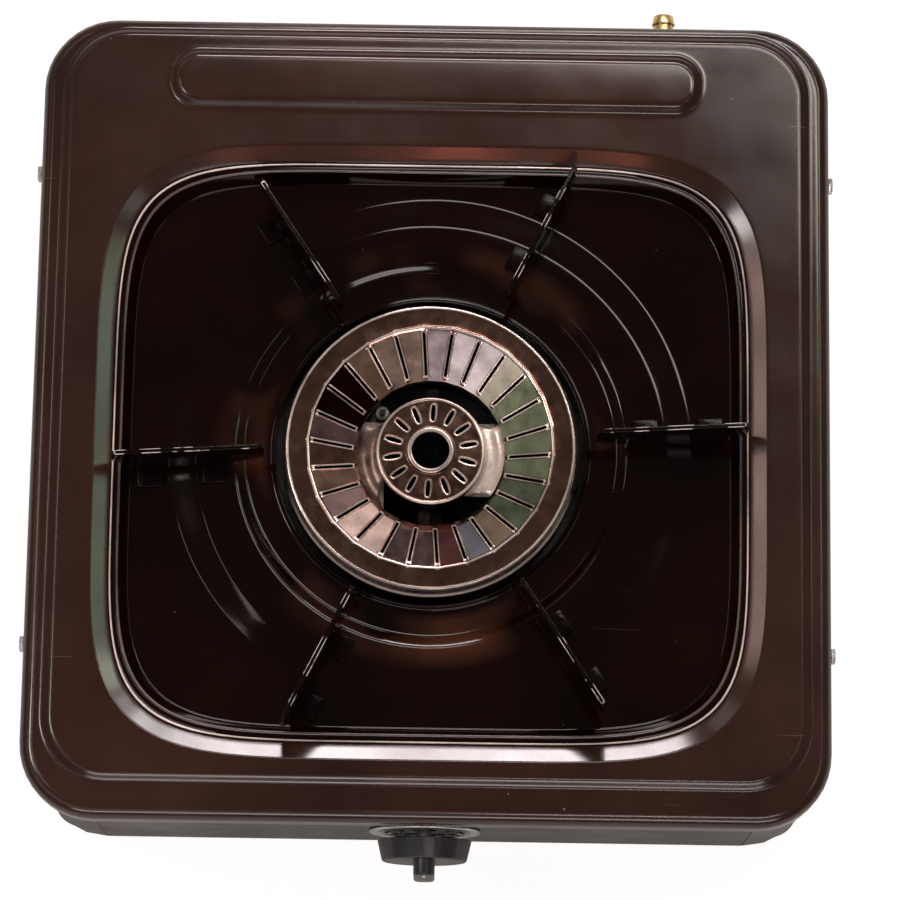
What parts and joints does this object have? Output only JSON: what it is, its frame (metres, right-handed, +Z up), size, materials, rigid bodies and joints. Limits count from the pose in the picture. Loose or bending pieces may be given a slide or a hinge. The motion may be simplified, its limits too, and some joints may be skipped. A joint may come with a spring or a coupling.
{
  "type": "gas burner stove",
  "caption": "Low table-top gas stove: pressed square top, loose drip tray with upright pan-support fins, ring burner with inward flame slots and a push-and-turn gas knob.",
  "frame": {"origin": "middle of the footprint, on the table under the feet", "axes": "+Z up, knob towards -Y, hose nipple towards +Y, +X to the right as seen from the knob"},
  "size_m": [0.3258, 0.3646, 0.113],
  "materials": {
    "brown_black_enamel": "semi-gloss baked enamel",
    "black_enamel": "high-gloss enamel",
    "support_enamel": "gloss enamel",
    "polished_burner_metal": "bright polished plating",
    "cast_burner_metal": "fine cast, satin",
    "case_paint": "satin paint",
    "zinc_sheet": "galvanised sheet",
    "brass": "turned",
    "screw_steel": "plated steel",
    "foot_rubber": "matte",
    "knob_plastic": "fine satin moulding",
    "ceramic": "glazed ceramic",
    "lead_silicone": "silicone sleeve"
  },
  "bodies": {
    "stove": {"top_cover": "brown_black_enamel", "burner_body": "cast_burner_metal", "valve_body": "cast_burner_metal", "body_shell": "case_paint", "front_panel": "case_paint", "base_plate": "zinc_sheet", "burner_bracket_left": "zinc_sheet", "burner_bracket_right": "zinc_sheet", "electrode_bracket": "zinc_sheet", "valve_cap": "zinc_sheet", "lead_clip": "zinc_sheet", "injector": "brass", "hose_nipple": "brass", "nipple_nut": "brass", "pipe_nut": "brass", "cover_screw_1": "screw_steel", "cover_screw_2": "screw_steel", "cover_screw_3": "screw_steel", "cover_screw_4": "screw_steel", "foot_screw_1": "screw_steel", "foot_screw_2": "screw_steel", "foot_screw_3": "screw_steel", "foot_screw_4": "screw_steel", "panel_screw_1": "screw_steel", "panel_screw_2": "screw_steel", "bracket_screw_1": "screw_steel", "bracket_screw_2": "screw_steel", "burner_screw_1": "screw_steel", "burner_screw_2": "screw_steel", "electrode_screw": "screw_steel", "valve_screw_1": "screw_steel", "valve_screw_2": "screw_steel", "electrode_rod": "screw_steel", "gas_pipe": "screw_steel", "knob_bezel": "screw_steel", "foot_1": "foot_rubber", "foot_2": "foot_rubber", "foot_3": "foot_rubber", "foot_4": "foot_rubber", "piezo_igniter": "knob_plastic", "electrode_insulator": "ceramic", "ignition_lead": "lead_silicone"},
    "tap_plug": {"valve_plug": "brass", "spindle_spring": "screw_steel"},
    "knob": {"knob": "knob_plastic", "valve_spindle": "brass"},
    "air_shutter": {"air_shutter": "zinc_sheet"},
    "drip_tray": {"drip_tray": "black_enamel", "support_fin_1": "support_enamel", "support_fin_2": "support_enamel", "support_fin_3": "support_enamel", "support_fin_4": "support_enamel", "support_fin_5": "support_enamel", "support_fin_6": "support_enamel"},
    "burner_ring_head": {"burner_ring_head": "polished_burner_metal"},
    "burner_center_cap": {"burner_center_cap": "polished_burner_metal"}
  },
  "joints": [
    {"name": "knob_turn", "type": "hinge", "parent": "stove", "child": "tap_plug", "pos_m": [0, -0.16275, 0.054], "axis": [0, -1, 0], "range_deg": [0, 180]},
    {"name": "knob_push", "type": "slide", "parent": "tap_plug", "child": "knob", "axis": [0, 1, 0], "range_m": [0, 0.0025], "stiffness_N_per_m": 1600, "springref_m": -0.002, "deforming": ["spindle_spring"]},
    {"name": "air_shutter_turn", "type": "hinge", "parent": "stove", "child": "air_shutter", "pos_m": [0, -0.12585, 0.054], "axis": [0, -1, 0], "range_deg": [0, 60]},
    {"name": "pan_support_lift", "type": "slide", "parent": "stove", "child": "drip_tray", "axis": [0, 0, 1], "range_m": [0, 0.06]},
    {"name": "ring_head_lift", "type": "slide", "parent": "stove", "child": "burner_ring_head", "axis": [0, 0, 1], "range_m": [0, 0.05]},
    {"name": "center_cap_lift", "type": "slide", "parent": "stove", "child": "burner_center_cap", "axis": [0, 0, 1], "range_m": [0, 0.05]}
  ]
}
